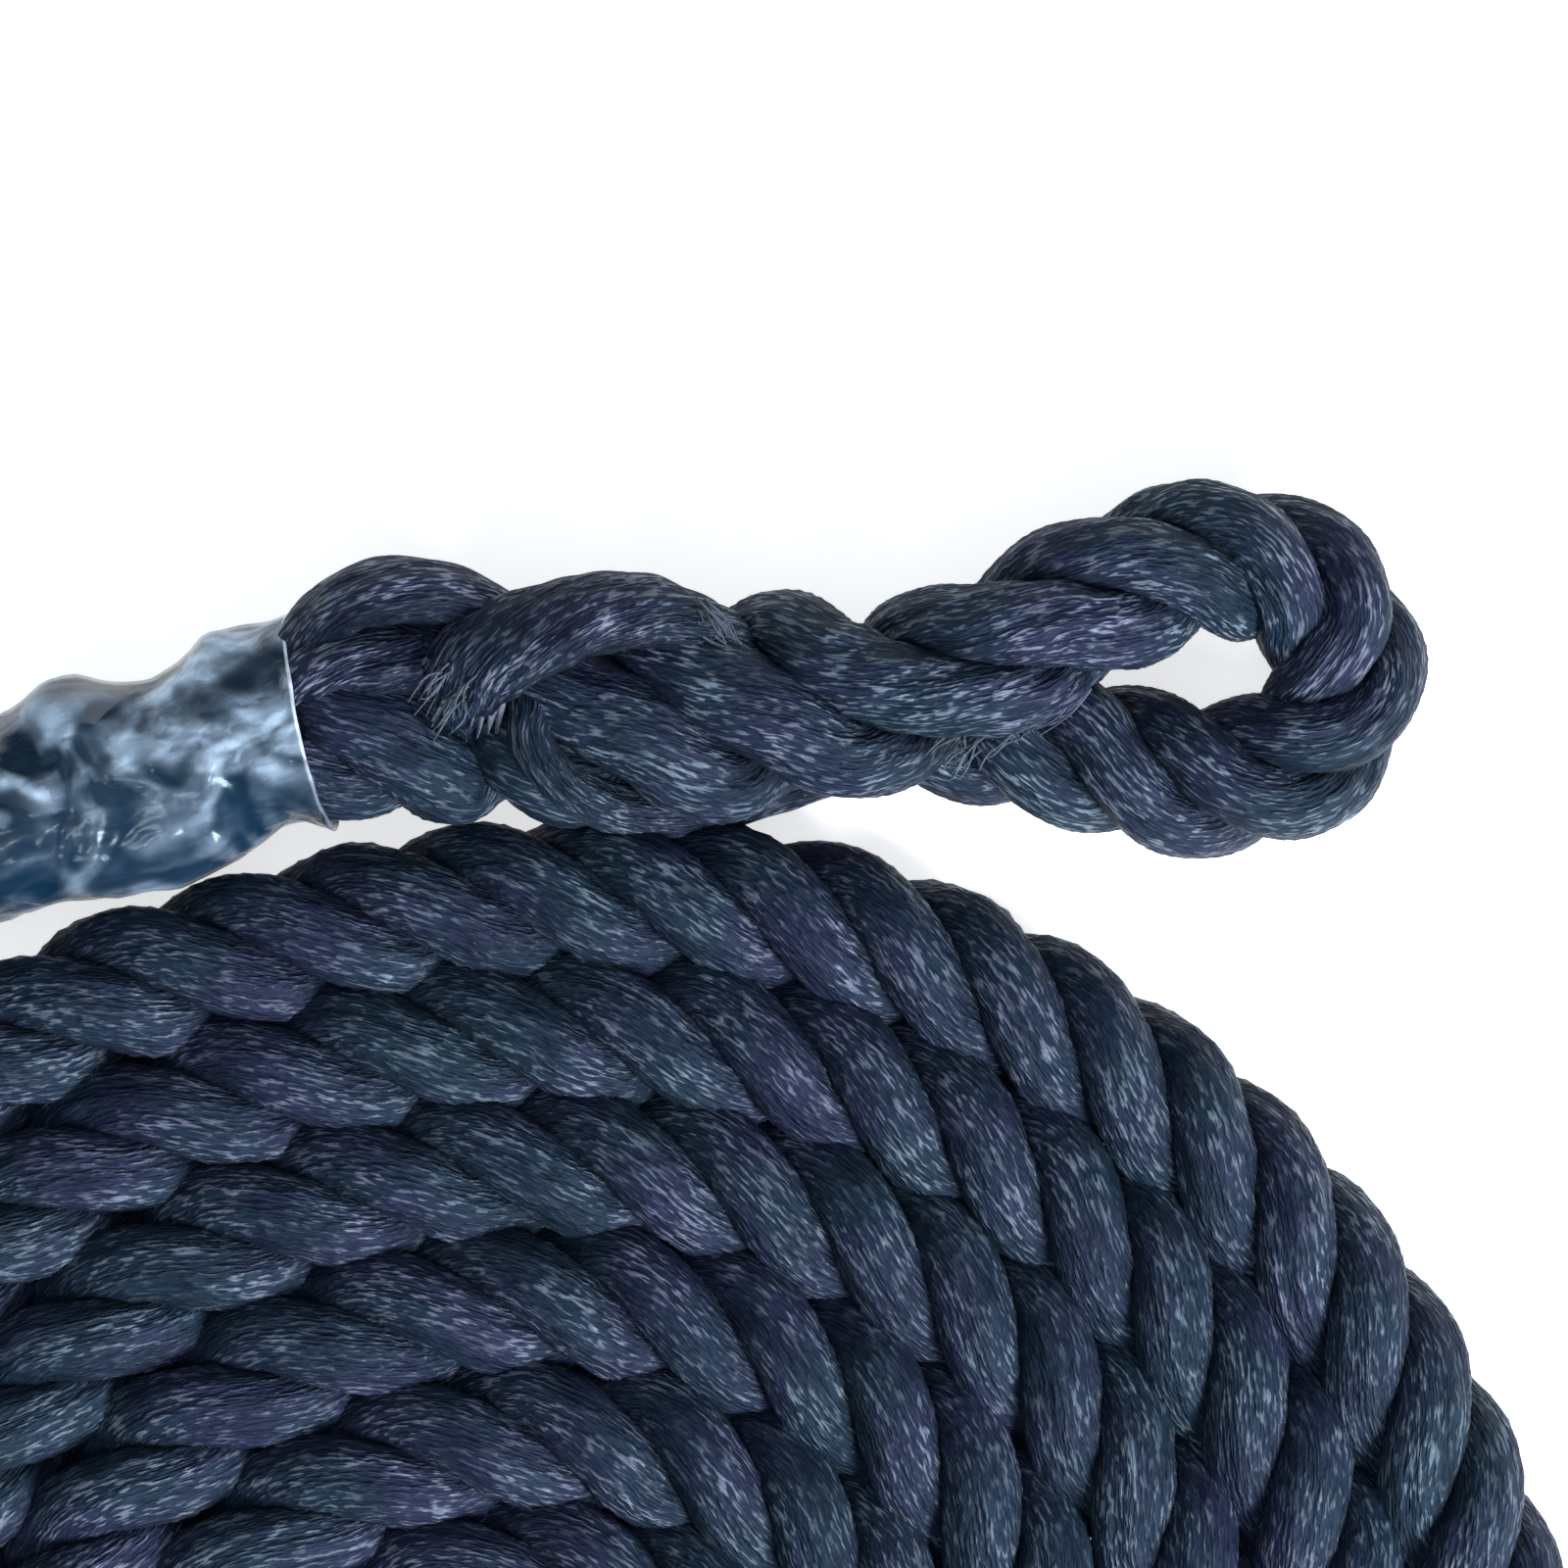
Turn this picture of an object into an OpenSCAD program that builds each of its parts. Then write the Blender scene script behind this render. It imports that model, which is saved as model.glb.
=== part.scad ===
// Coiled dock line: three-strand rope laid down as a flat spiral, with a small
// spliced eye at its outer end, a clear shrink sleeve over the end of the splice
// and a sleeved, sealed bitter end in the middle of the coil.
// Millimetres, +Z up. The origin is the middle of the footprint, on the surface
// that the line lies on.

/* [Rope] */
// Outside diameter of the laid rope
rope_d = 16; // [12:0.5:20]
// Diameter of one of its three strands where it is unlaid for the splice
strand_d = 7.2; // [5:0.1:8]

/* [Coil] */
// Distance from one turn to the next, less than the rope because the turns nest
turn_pitch = 14.5; // [11:0.5:18]
// Number of whole turns in the flat coil
turns = 6; // [3:1:8]
// Radius of the open middle of the coil, level with its centre on the right
hole_r = 25; // [22:0.5:40]

/* [Splice] */
// Diameter of the standing part where the tucked strands squeeze it
core_d = 9; // [7:0.1:11]
// Degrees that a tucked strand winds round the standing part for each millimetre
tuck_rate = 4; // [2:0.25:5]
// Gap between the splice and the coil that lies against it
rest_gap = 0.2; // [0.1:0.1:2]

/* [Clear sleeve] */
// Length of the shrink sleeve over the end of the splice
sleeve_len = 50; // [35:1:60]
// Outside diameter of the sleeve
sleeve_d = 21; // [20:0.5:25]
// Wall of the sleeve
sleeve_wall = 0.5; // [0.3:0.1:1]

/* [Bitter end] */
// Length of rope in the middle of the coil, past its last whole turn
end_len = 26; // [18:1:34]
// Length of the clear sleeve on the bitter end
end_sleeve_len = 16; // [10:1:18]
// Wall of that sleeve
end_sleeve_wall = 0.6; // [0.3:0.1:1]
// Thickness of the melted cap that seals the end
tip_len = 2.5; // [1.5:0.5:4]

/* [Hidden] */

rope_r = rope_d / 2;
strand_r = strand_d / 2;
core_r = core_d / 2;
rope_color = [0.13, 0.15, 0.21];
strand_color = [0.20, 0.23, 0.31];
rope_sides = 12;
strand_sides = 10;
clearance = 0.3;

// The coil's outline is a two-centre spiral: each half turn is an arc, and the
// centre steps a quarter of a pitch to either side.
centre_step = turn_pitch / 4;
band_w = (turns - 1) * turn_pitch + rope_d;
upper_in_r = hole_r - centre_step;
lower_in_r = hole_r + centre_step;
upper_out_r = upper_in_r + band_w;

// The sleeve's mouth and the way that it points
sleeve_mouth = [-18, 104.7];
sleeve_turn = 197;
sleeve_r = sleeve_d / 2;
sleeve_bore_r = sleeve_r - sleeve_wall;
sleeve_dir = [cos(sleeve_turn), sin(sleeve_turn)];

// The splice lies on the surface. The coil lies against its side, or against the
// side of the sleeve where that is in the way first.
splice_r = core_r + clearance + strand_d;
splice_y = 108.3;
coil_x = 4.5;
edge_r = upper_out_r - rope_r;
beside_splice_y = splice_y - edge_r - reach(splice_r, rest_gap);
beside_sleeve_y = sleeve_mouth[1]
    + ((coil_x + centre_step - sleeve_mouth[0]) * sleeve_dir[1]
       + edge_r + reach(sleeve_r, clearance)) / sleeve_dir[0];
coil_centre = [coil_x, min(beside_splice_y, beside_sleeve_y)];
upper_centre = coil_centre + [centre_step, 0];
lower_centre = coil_centre - [centre_step, 0];
// The tucked strands taper before the sleeve and end this far inside it
tail_in = 12;
tail_taper = 9;
mouth_strand_r = (sleeve_bore_r - core_r - 4 * clearance) / 2;
tail_r = mouth_strand_r * 0.8;

// The uncoiled rope is one route in four lists of points.
// The eye, from where its lower leg is unlaid, round to the throat. Each row is
// x, y and how far the rope's underside is above the surface.
eye_points = [
    [65.5, 101, 0], [72, 100.5, 0], [79, 99.5, 0], [85, 101, 0],
    [89.5, 104.5, 0], [91, 109.5, 0], [90.5, 114.5, 0], [87.5, 119.5, 0.5],
    [81.5, 122, 1.5], [75, 122.5, 3], [69, 121, 5], [63, 118, 6.5],
    [57, 114.5, 7.4]];

// The standing part in the splice: x, y, and how much of the change from whole
// rope to squeezed core is done, from 0 to 1.
core_points = [
    [52, 112, 0.35], [46.5, 110, 0.8], [40.5, 109, 1], [30, splice_y, 1],
    [20, splice_y, 1], [10, splice_y, 1], [0, splice_y, 1], [-9, 107, 1]];

// Inside the sleeve: distance in from its mouth, and how far the standing part
// is back to whole rope.
sleeve_points = [[1, 0], [tail_in, 0], [24, 1], [32, 1], [sleeve_len, 1]];

// From the sleeve to the coil's outer end: degrees round the upper centre, and
// the gap between the rope and the coil. The last row only gives the direction.
outer_points = [
    [129, 11], [134, 12], [139, 11.5], [145, 10], [151, 8], [158, 5.5],
    [165, 3], [172, 1.3], [180, 0.3], [188, 1.3]];

// Where the three strands leave the end of the unlaid leg, before they wind:
// x, y and height of each strand's middle, strand by strand.
strand_starts = [
    [[64.7, 99, 4], [56, 100.9, 4.2], [50.5, 102.8, 4.2]],
    [[64.1, 106.1, 8.3], [58.5, 108.3, 4.3], [53, 113, 3.7], [48.5, 118, 6.5]],
    [[64.7, 99.6, 11.7], [57, 100.6, 12.6], [51.5, 101, 15], [48, 102.4, 18.5]]];
// Where the winding starts, and each strand's angle there: 0 faces away from the
// coil and 90 is the top
wind_from_x = 44;
wind_start = [225, -15, 105];
wind_steps = 11;

// How far the middle of the coil's rope stands, seen from above, from the middle
// of something round that lies beside it with a gap between them
function reach(r, gap) = sqrt(pow(rope_r + r + gap, 2) - pow(r - rope_r, 2));

function unit(v) = v / norm(v);
function mix(a, b, t) = a + (b - a) * t;
function spot(row) = [row[0], row[1], row[2]];

// Direction of travel at row i of a route
function heading(rows, i) =
    unit(spot(rows[min(i + 1, len(rows) - 1)]) - spot(rows[max(i - 1, 0)]));

// One ring of points round row i, square to the route
function ring(rows, i, sides) =
    let (ahead = heading(rows, i),
         side = unit(cross(ahead, [0, 0, 1])),
         up = cross(side, ahead))
    [for (k = [0:sides - 1])
        spot(rows[i]) + rows[i][3] * (cos(360 * k / sides) * side + sin(360 * k / sides) * up)];

// A solid cord along part of a route, whose rows are x, y, z and radius. Two
// stretches of one route share the ring where they meet.
module sweep(rows, sides, first, last) {
    count = last - first + 1;
    first_cap = [for (k = [0:sides - 1]) sides - 1 - k];
    last_cap = [for (k = [0:sides - 1]) (count - 1) * sides + k];
    walls = [for (i = [0:count - 2], k = [0:sides - 1])
        let (a = i * sides + k, b = i * sides + (k + 1) % sides)
        each [[a, b, b + sides], [a, b + sides, a + sides]]];
    polyhedron([for (i = [first:last]) each ring(rows, i, sides)],
               concat([first_cap, last_cap], walls), convexity = 8);
}

// A point on the sleeve's axis, a distance in from its mouth
function in_sleeve(d) =
    [sleeve_mouth[0] + d * sleeve_dir[0], sleeve_mouth[1] + d * sleeve_dir[1], sleeve_r];

// The rope beside the coil, at an angle and a gap
function outer_row(row) =
    let (r = upper_out_r + rope_r + row[1])
    [upper_centre[0] + r * cos(row[0]), upper_centre[1] + r * sin(row[0]), rope_r, rope_r];

// Whether a row of the route is far enough past the sleeve's end
function past_sleeve(row) =
    [row[0] - sleeve_mouth[0], row[1] - sleeve_mouth[1]] * sleeve_dir > sleeve_len + rope_r / 2;

throat_z = eye_points[len(eye_points) - 1][2] + rope_r;
route = concat(
    [for (p = eye_points) [p[0], p[1], p[2] + rope_r, rope_r]],
    [for (p = core_points) [p[0], p[1], mix(throat_z, splice_r, p[2]), mix(rope_r, core_r, p[2])]],
    [for (p = sleeve_points) concat(in_sleeve(p[0]), mix(core_r, rope_r, p[1]))],
    [for (p = outer_points) if (past_sleeve(outer_row(p))) outer_row(p)]);
throat = len(eye_points) - 1;
whole_again = len(eye_points) + len(core_points) + 2;
coil_join = len(route) - 2;

// One column of the standing part's route, at a place x along the splice
function along(column, x) =
    lookup(x, [for (i = [throat:whole_again]) [route[i][0], route[i][column]]]);

// A tucked strand's radius at x, which falls before the sleeve's mouth
function tuck_r(x) = lookup(x, [
    [sleeve_mouth[0] - tail_in, tail_r], [sleeve_mouth[0], mouth_strand_r],
    [sleeve_mouth[0] + tail_taper, strand_r]]);

// A strand wound round the core: its row at x, where it stands at an angle
function wound_row(x, angle) =
    let (r = tuck_r(x), out = along(3, x) + clearance + r)
    [x, along(1, x) + out * cos(angle), along(2, x) + out * sin(angle), r];

// Rows of tucked strand k: out of the unlaid leg, round the core, into the sleeve
function tuck_rows(k) =
    let (wind_len = wind_from_x - sleeve_mouth[0] + tail_in)
    concat(
        [for (p = strand_starts[k]) [p[0], p[1], max(p[2], strand_r), strand_r]],
        [for (i = [0:wind_steps])
            let (done = wind_len * i / wind_steps)
            wound_row(wind_from_x - done, wind_start[k] + tuck_rate * done)]);

// One half turn of the coil's outline, from the left or from the right
module half_turn(centre, in_r, start) {
    translate([centre[0], centre[1], 0]) rotate([0, 0, start])
        rotate_extrude(angle = 180, $fn = 180) {
            translate([in_r + rope_r, rope_r]) circle(rope_r, $fn = 48);
            translate([in_r + band_w - rope_r, rope_r]) circle(rope_r, $fn = 48);
            translate([in_r + rope_r, 0]) square([band_w - rope_d, rope_d]);
        }
}

// The outer shape of the whole flat spiral
module coil() color(rope_color) {
    half_turn(upper_centre, upper_in_r, 0);
    half_turn(lower_centre, lower_in_r, 180);
}

module outer_stretch() color(rope_color)
    sweep(route, rope_sides, whole_again, coil_join);

module standing_part() color(rope_color)
    sweep(route, rope_sides, throat, whole_again);

module eye_loop() color(rope_color)
    sweep(route, rope_sides, 0, throat);

module tucked_strand(k) color(strand_color)
    sweep(tuck_rows(k), strand_sides, 0, len(tuck_rows(k)) - 1);

// A plain round shell, standing on the origin
module shell(outer_r, inner_r, length) {
    difference() {
        cylinder(r = outer_r, h = length, $fn = 96);
        translate([0, 0, -1]) cylinder(r = inner_r, h = length + 2, $fn = 96);
    }
}

module clear_sleeve() color([0.75, 0.85, 0.95, 0.45])
    translate([sleeve_mouth[0], sleeve_mouth[1], sleeve_r])
        rotate([0, 0, sleeve_turn]) rotate([0, 90, 0])
            shell(sleeve_r, sleeve_bore_r, sleeve_len);

// The bitter end follows the inside of the coil's last half turn.
end_bend_r = lower_in_r - rope_r - end_sleeve_wall - clearance;
end_z = rope_r + end_sleeve_wall;
end_angle = end_len / end_bend_r * 180 / PI;
end_sleeve_angle = end_sleeve_len / end_bend_r * 180 / PI;

module at_bend(angle) {
    translate([lower_centre[0], lower_centre[1], end_z]) rotate([0, 0, 180 + angle]) children();
}

module bitter_end() color(rope_color)
    at_bend(0) rotate_extrude(angle = end_angle, $fn = 180)
        translate([end_bend_r, 0]) circle(rope_r, $fn = 48);

module end_sleeve() color([0.75, 0.85, 0.95, 0.45])
    at_bend(end_angle - end_sleeve_angle) rotate_extrude(angle = end_sleeve_angle, $fn = 180)
        translate([end_bend_r, 0]) difference() {
            circle(rope_r + end_sleeve_wall, $fn = 48);
            circle(rope_r, $fn = 48);
        }

module sealed_tip() color([0.06, 0.07, 0.10])
    at_bend(end_angle) translate([end_bend_r, 0, 0]) rotate([-90, 0, 0]) {
        cylinder(r = rope_r - 0.5, h = tip_len / 2, $fn = 96);
        translate([0, 0, tip_len / 2])
            cylinder(r1 = rope_r - 0.5, r2 = rope_r - 2, h = tip_len / 2, $fn = 96);
    }

coil();
outer_stretch();
standing_part();
eye_loop();
tucked_strand(0);  // tucked_strand_1
tucked_strand(1);  // tucked_strand_2
tucked_strand(2);  // tucked_strand_3
clear_sleeve();
bitter_end();
end_sleeve();
sealed_tip();
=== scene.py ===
import logging
import math
from dataclasses import dataclass, field
from enum import Enum
from typing import Iterable, Sequence

import bmesh
import bpy
import numpy as np
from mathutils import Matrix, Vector


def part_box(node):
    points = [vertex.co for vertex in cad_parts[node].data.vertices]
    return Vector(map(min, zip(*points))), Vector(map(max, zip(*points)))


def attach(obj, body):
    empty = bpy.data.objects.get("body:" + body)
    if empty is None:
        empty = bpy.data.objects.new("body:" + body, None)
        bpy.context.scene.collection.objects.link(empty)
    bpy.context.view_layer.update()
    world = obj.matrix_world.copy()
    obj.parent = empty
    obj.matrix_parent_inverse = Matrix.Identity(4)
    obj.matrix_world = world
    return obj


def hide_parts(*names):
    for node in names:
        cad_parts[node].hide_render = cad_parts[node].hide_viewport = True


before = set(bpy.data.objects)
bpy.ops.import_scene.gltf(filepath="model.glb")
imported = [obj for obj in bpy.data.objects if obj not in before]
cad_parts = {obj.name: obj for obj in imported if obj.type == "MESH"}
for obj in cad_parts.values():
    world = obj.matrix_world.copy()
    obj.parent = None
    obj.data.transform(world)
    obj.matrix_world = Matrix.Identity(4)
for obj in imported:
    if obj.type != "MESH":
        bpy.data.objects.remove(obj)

log = logging.getLogger("dock_line")
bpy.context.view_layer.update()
MM = 0.001
BODY = "root"
UP = np.array([0.0, 0.0, 1.0])
TURN = 2 * math.pi

# The turns of the flat coil, as in the CAD source: a spiral whose middle and outer
# radius come from the coil's own box.
COIL_LOW, COIL_HIGH = (np.array(corner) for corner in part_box("coil"))
ROPE_D = 0.016
ROPE_R = ROPE_D / 2
PITCH = 0.0145
TURNS = 6
LAY = 0.0378
STRANDS = 3
# How far the strands' middles stand from the rope's line, sideways and upwards, in the
# bend that leads to the coil and in the coil's nested turns, and how fat they are there
BEND_WIDE, BEND_HIGH = 4.5 * MM, 4.4 * MM
NEST_WIDE, NEST_HIGH, NEST_FAT = 4.65 * MM, 4.3 * MM, 1.09
# A distance along a piece that is past its end
EVERYWHERE = 9.0
# Where the first strand is when none has been counted yet, in degrees round the rope's
# line from its left side over its top
FIRST_STRAND = 30
# The columns of a row of the route, after its place
WIDE, HIGH, COUNT, LEVEL, FAT = range(3, 8)

# The rope's route from the eye's lower leg, where it is unlaid, round the eye and
# through the splice to the sleeve's mouth. Millimetres: x, y, z of the middle, and how
# far the strands' middles stand from it sideways and upwards. Then the number of strand
# crossings passed so far, how far the strands are straightened, from 0 to 0.3, and how
# much fatter they are than in the laid rope.
EYE_ROUTE = (
    (47.0, 106.0, 6.3, 3.9, 3.0, -1.15, 0.0, 0.95),
    (52.0, 105.3, 7.2, 4.5, 3.7, -0.72, 0.0, 1.02),
    (58.0, 104.1, 8.0, 4.6, 4.3, -0.2, 0.0, 1.06),
    (65.0, 102.0, 8.0, 4.6, 4.4, 0.38, 0.0, 1.0),
    (72.0, 100.1, 8.0, 4.6, 4.4, 1.0, 0.0, 1.0),
    (79.0, 99.6, 8.0, 4.6, 4.4, 1.58, 0.0, 1.0),
    (85.0, 101.2, 8.0, 4.5, 4.4, 2.08, 0.0, 1.0),
    (89.3, 104.7, 8.0, 4.5, 4.4, 2.58, 0.0, 1.0),
    (91.1, 109.6, 8.0, 4.5, 4.4, 3.06, 0.0, 1.0),
    (90.6, 114.7, 8.1, 4.5, 4.4, 3.55, 0.0, 1.0),
    (87.4, 119.3, 8.7, 4.5, 4.4, 4.05, 0.0, 1.0),
    (81.5, 122.3, 9.8, 4.6, 4.4, 4.62, 0.0, 1.0),
    (75.0, 122.5, 11.2, 4.6, 4.4, 5.18, 0.0, 1.0),
    (69.0, 120.6, 12.8, 4.8, 4.4, 5.68, 0.0, 1.05),
    (63.0, 117.4, 14.2, 5.1, 4.4, 6.2, 0.05, 1.12),
    (57.0, 114.4, 15.2, 5.2, 4.4, 6.66, 0.1, 1.14),
    (51.5, 111.6, 14.6, 5.2, 4.6, 7.08, 0.15, 1.12),
    (46.5, 109.6, 13.6, 5.7, 5.0, 7.4, 0.18, 1.16),
    (40.5, 108.4, 12.8, 6.4, 5.6, 7.76, 0.2, 1.2),
    (36.0, 107.8, 12.3, 7.0, 6.1, 8.0, 0.22, 1.24),
    (30.0, 107.4, 12.0, 7.6, 6.3, 8.4, 0.22, 1.28),
    (20.5, 106.9, 12.0, 7.7, 6.0, 9.0, 0.22, 1.3),
    (14.0, 106.4, 12.0, 7.5, 5.4, 9.45, 0.22, 1.3),
    (7.5, 106.2, 12.0, 7.3, 4.4, 9.9, 0.22, 1.28),
    (0.0, 106.2, 11.0, 7.1, 1.8, 10.5, 0.22, 1.15),
    (-6.0, 106.2, 11.8, 7.0, 4.8, 11.0, 0.2, 1.28),
    (-12.0, 105.7, 11.7, 6.6, 5.5, 11.5, 0.15, 1.22),
    (-18.0, 104.7, 11.2, 5.4, 5.0, 12.0, 0.05, 1.1),
)
# The sleeve's mouth, the heading there in degrees, the height of the rope's line and how
# much it falls for each millimetre further in
SLEEVE_MOUTH = (-18.0, 104.7)
SLEEVE_HEADING = 197.0
SLEEVE_Z, SLEEVE_FALL = 10.8, 0.05
# From the sleeve's mouth: how far in, and the same last five columns
SLEEVE_ROUTE = (
    (10.0, 4.9, 4.7, 12.8, 0.0, 1.05), (20.0, 5.1, 4.7, 13.6, 0.0, 1.06),
    (30.0, 5.0, 4.6, 14.4, 0.0, 1.06), (40.0, 4.5, 4.4, 15.2, 0.0, 1.0),
    (50.0, 4.4, 4.4, 16.0, 0.0, 1.0))
# From the sleeve to the coil: degrees round the coil's upper centre, and the gap
# between the rope and the coil in millimetres
OUTER_ROUTE = (
    (134.0, 12.0), (139.0, 11.4), (145.0, 9.6), (151.0, 7.4), (158.0, 4.6),
    (165.0, 1.9), (172.0, -0.3))
# Strand crossings counted up to the first of those places
OUTER_COUNT = 16.9
# Beside the splice the outer turns are pushed in: where round the coil and how far to
# each side of that, in degrees, how many millimetres, and the share that each turn
# further in loses
DENT_AT, DENT_WIDTH, DENT_DEPTH, DENT_FADE = 99.0, 11.0, 3.2, 0.4
# Strand crossings counted at some distances along the spiral, in metres
CROSSINGS = (
    (0.0, 25.61), (0.4711, 63.2), (1.1016, 113.0), (1.5906, 152.0), (2.0045, 184.5),
    (2.3334, 210.5), (2.72, 241.2))

# The tucked strands, in millimetres: x, y, z, and the strand's half width and half
# thickness. The first point of each is inside the end of the laid rope.
TUCKS = (
    # One runs under the splice, turns up on the coil's side, passes under the second
    # and comes over the top of the splice beside the sleeve.
    ((44.0, 104.0, 4.6, 3.6, 3.4), (38.0, 101.8, 4.4, 3.7, 3.3), (30.0, 98.9, 5.6, 3.6, 3.2),
     (22.0, 96.4, 8.4, 3.2, 3.0), (15.6, 96.2, 12.2, 2.7, 2.7), (10.8, 97.8, 15.8, 2.5, 2.6),
     (7.2, 100.6, 18.2, 2.4, 2.5), (5.4, 104.0, 18.9, 2.4, 2.5), (5.6, 107.8, 17.2, 2.8, 2.6),
     (5.4, 111.6, 14.8, 3.6, 2.9), (2.6, 115.2, 14.6, 4.2, 3.1), (-1.6, 117.9, 16.4, 4.5, 3.3),
     (-6.6, 119.2, 17.9, 4.6, 3.3), (-12.2, 118.6, 17.8, 4.5, 3.2), (-16.6, 115.9, 15.8, 4.2, 3.1),
     (-20.0, 112.0, 13.4, 3.9, 3.1), (-25.5, 110.2, 12.0, 3.6, 3.0), (-31.0, 107.6, 11.0, 3.2, 2.6),
     (-37.0, 104.6, 10.0, 2.6, 2.2)),
    # One comes from under the neck, over the top of the splice and ends in a fringe.
    ((44.0, 107.5, 5.6, 3.6, 3.4), (38.5, 108.6, 7.0, 3.8, 3.3), (32.5, 110.2, 9.4, 4.0, 3.2),
     (27.4, 112.8, 12.4, 4.3, 3.1), (23.2, 115.4, 15.6, 4.7, 3.0), (18.8, 117.0, 18.3, 5.0, 2.9),
     (13.6, 117.0, 20.2, 5.2, 2.8), (8.4, 115.8, 21.4, 5.4, 2.6), (3.4, 113.6, 21.8, 5.3, 2.4),
     (-0.4, 111.2, 21.2, 5.0, 2.1), (-2.4, 109.0, 19.8, 4.6, 1.8), (-3.4, 107.2, 17.6, 3.9, 1.6),
     (-4.6, 106.2, 14.2, 3.0, 1.6), (-8.0, 105.8, 11.0, 2.8, 2.0), (-14.0, 105.0, 9.2, 2.8, 2.2),
     (-20.0, 103.0, 8.6, 2.8, 2.2), (-28.5, 100.4, 8.4, 2.6, 2.2)),
    # One stays inside and comes to the top just before the sleeve.
    ((44.0, 106.0, 6.0, 3.5, 3.2), (36.0, 107.0, 8.2, 4.2, 3.6), (26.0, 107.3, 10.4, 4.6, 3.8),
     (16.0, 106.8, 11.0, 4.8, 3.8), (8.0, 107.0, 11.2, 4.8, 3.8), (2.0, 109.4, 12.8, 4.8, 3.4),
     (-3.5, 111.6, 15.3, 4.7, 3.0), (-9.0, 111.9, 17.2, 4.5, 2.9), (-14.6, 111.4, 17.7, 4.3, 2.9),
     (-20.5, 109.0, 16.6, 4.0, 2.8), (-27.0, 106.4, 16.0, 3.8, 2.7), (-33.0, 102.6, 14.4, 2.8, 2.3)),
)
# How deep the grooves between the yarns of each tucked strand are, and how many yarns
TUCK_YARNS = ((0.03, 9), (0.06, 13), (0.035, 9))

# Both clear sleeves: the radius and length, and the lumps that the strands push up in
# the film. A lump's numbers are how far in it is in millimetres, how many degrees from
# the top, its height as a share of the radius, its half length in millimetres and its
# half width in degrees.
SLEEVE_RADIUS, SLEEVE_LENGTH = 0.0100, 0.050
SLEEVE_LUMPS = (
    (0.0, 85.0, 0.18, 4.0, 50.0), (7.5, 85.0, 0.30, 4.5, 48.0), (24.0, 80.0, 0.30, 6.0, 50.0),
    (0.0, -85.0, 0.10, 3.0, 50.0), (6.0, -85.0, -0.14, 4.0, 45.0),
    (19.0, -85.0, 0.15, 8.0, 45.0), (12.0, 10.0, 0.08, 5.0, 30.0),
    (16.5, 25.0, -0.10, 3.5, 40.0), (34.0, 15.0, 0.10, 6.0, 34.0))
END_SLEEVE_RADIUS, END_SLEEVE_LENGTH = 0.0086, 0.016
END_SLEEVE_LUMPS = ((7.0, 40.0, 0.05, 4.0, 40.0),)


class Ends(Enum):
    """Whether the two ends of a tube are filled."""

    FILLED = "filled"
    OPEN = "open"


def unit(rows: np.ndarray) -> np.ndarray:
    """Rows of vectors, each made one long."""
    return rows / np.maximum(np.linalg.norm(rows, axis=-1, keepdims=True), 1e-12)


def travelled(points: np.ndarray) -> np.ndarray:
    """The distance along a line at each of its points."""
    steps = np.linalg.norm(np.diff(points[:, :3], axis=0), axis=1)
    return np.concatenate([[0.0], np.cumsum(steps)])


def smooth_line(rows: np.ndarray, at: np.ndarray | None = None, step: float = 0.0005) -> np.ndarray:
    """One smooth curve through rows whose first three columns are a place.

    Args:
        rows: The chosen rows, any number of columns.
        at: Distances at which the curve is wanted, or None for even steps.
        step: The even step, in metres.

    Returns:
        The rows of the curve.
    """
    along = travelled(rows)
    if at is None:
        at = np.linspace(0.0, along[-1], max(2, int(round(along[-1] / step)) + 1))
    slope = np.gradient(rows, along, axis=0)
    i = np.clip(np.searchsorted(along, at, side="right") - 1, 0, len(along) - 2)
    gap = (along[i + 1] - along[i])[:, None]
    u = ((at - along[i])[:, None]) / gap
    return ((1 + 2 * u) * (1 - u) ** 2 * rows[i] + u * (1 - u) ** 2 * gap * slope[i]
            + u * u * (3 - 2 * u) * rows[i + 1] + u * u * (u - 1) * gap * slope[i + 1])


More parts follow.
